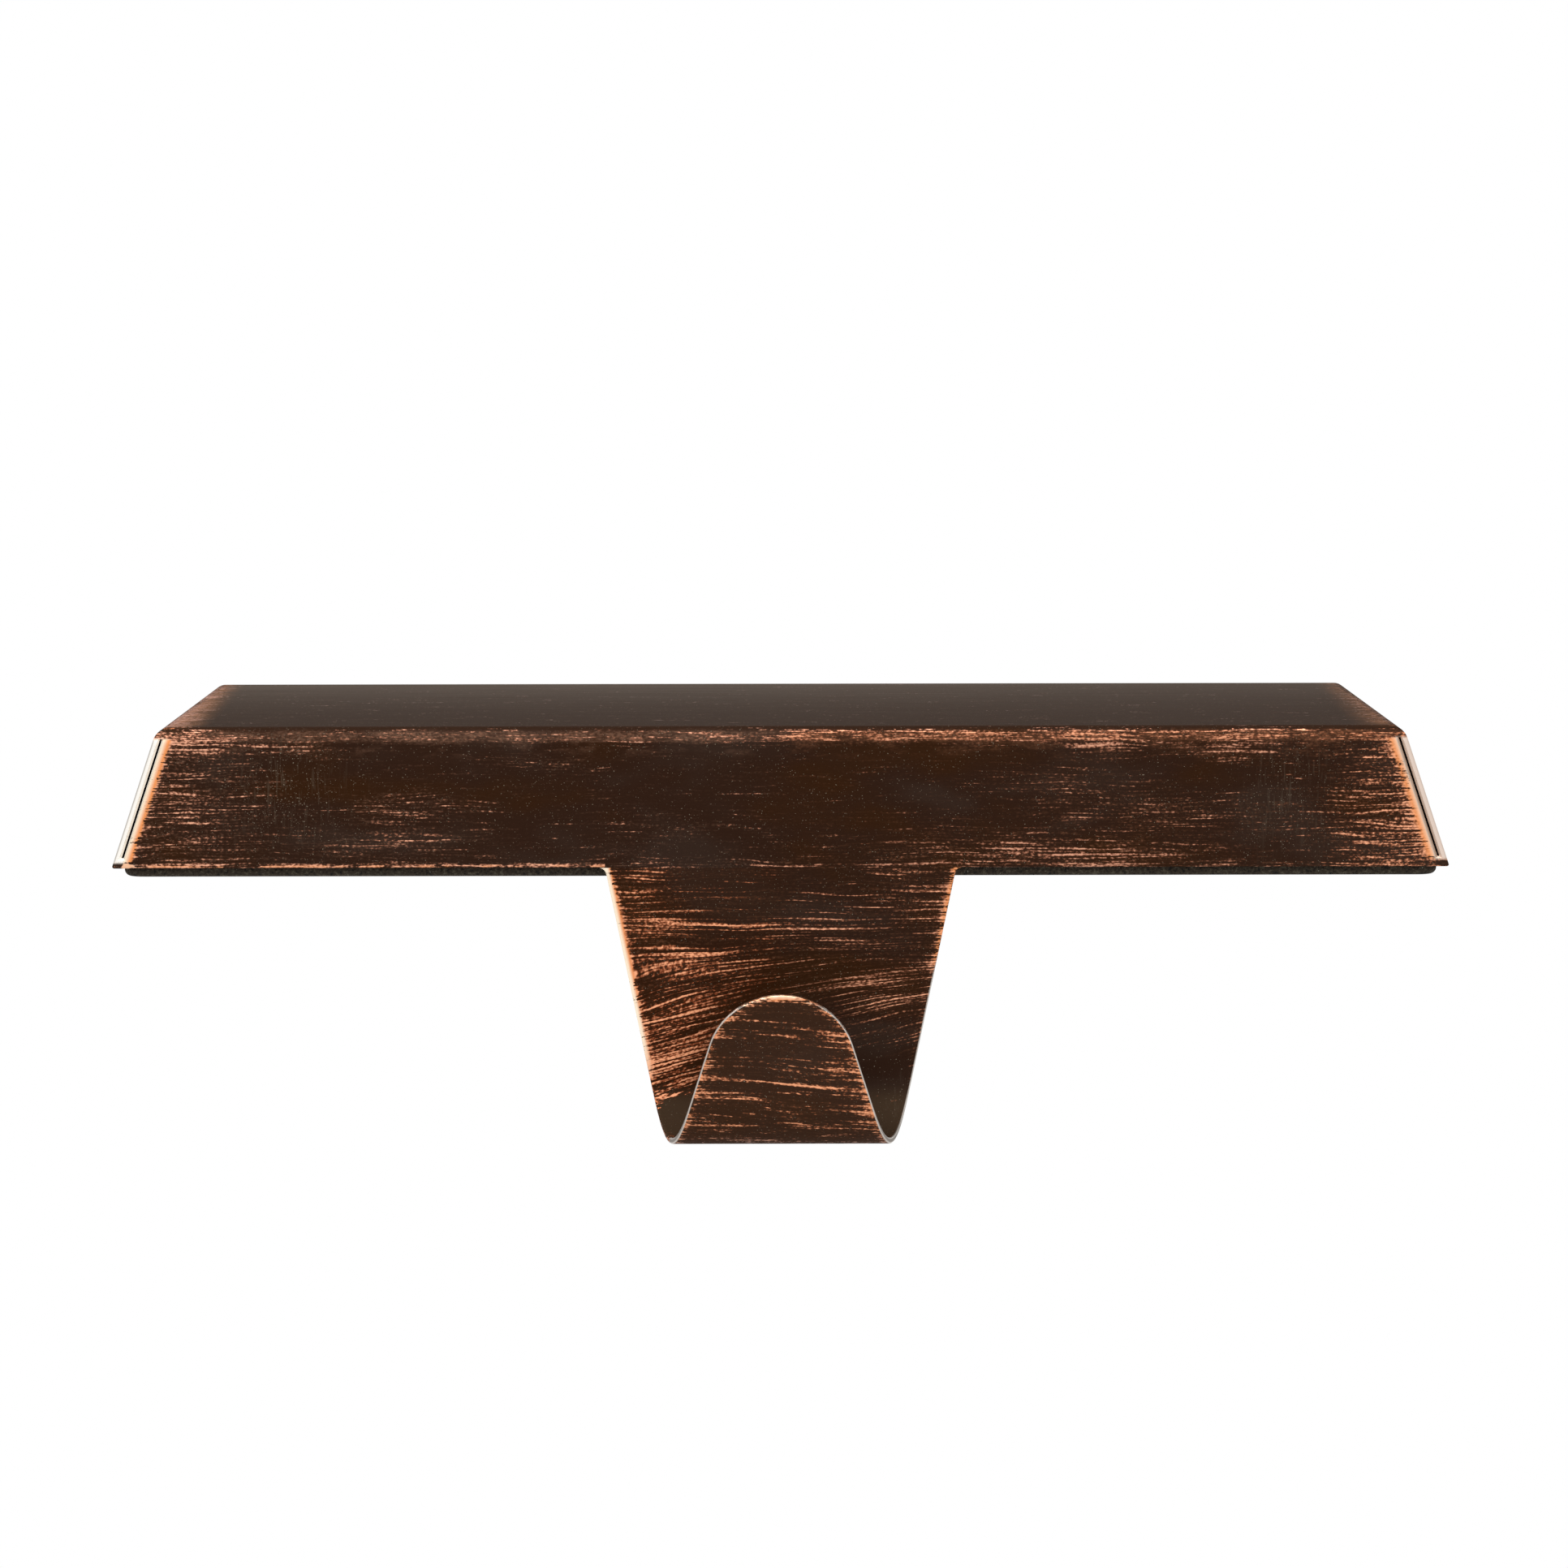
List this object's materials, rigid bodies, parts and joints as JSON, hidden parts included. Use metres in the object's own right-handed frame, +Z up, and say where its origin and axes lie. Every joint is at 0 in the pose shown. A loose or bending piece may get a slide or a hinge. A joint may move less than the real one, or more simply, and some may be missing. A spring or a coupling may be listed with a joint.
{
  "type": "mantel stocking holder",
  "caption": "Weighted mantel stocking holder: a low folded-sheet box in brushed dark bronze, with a tapered hook that hangs in front of the shelf and a non-slip pad beneath.",
  "frame": {"origin": "middle of the pad's underside, where it lies on the shelf", "axes": "+X along the holder, +Y back over the shelf, +Z up; the hook hangs on the -Y side"},
  "size_m": [0.127, 0.0768, 0.0391],
  "materials": {
    "bronze_lacquer": "dark brown lacquer brushed through to copper along the edges and in fine strokes",
    "raw_iron": "raw casting",
    "pad_foam": "fine-grained black non-slip sheet"
  },
  "bodies": {
    "root": {"cover": "bronze_lacquer", "weight": "raw_iron", "base_pad": "pad_foam"}
  },
  "joints": []
}
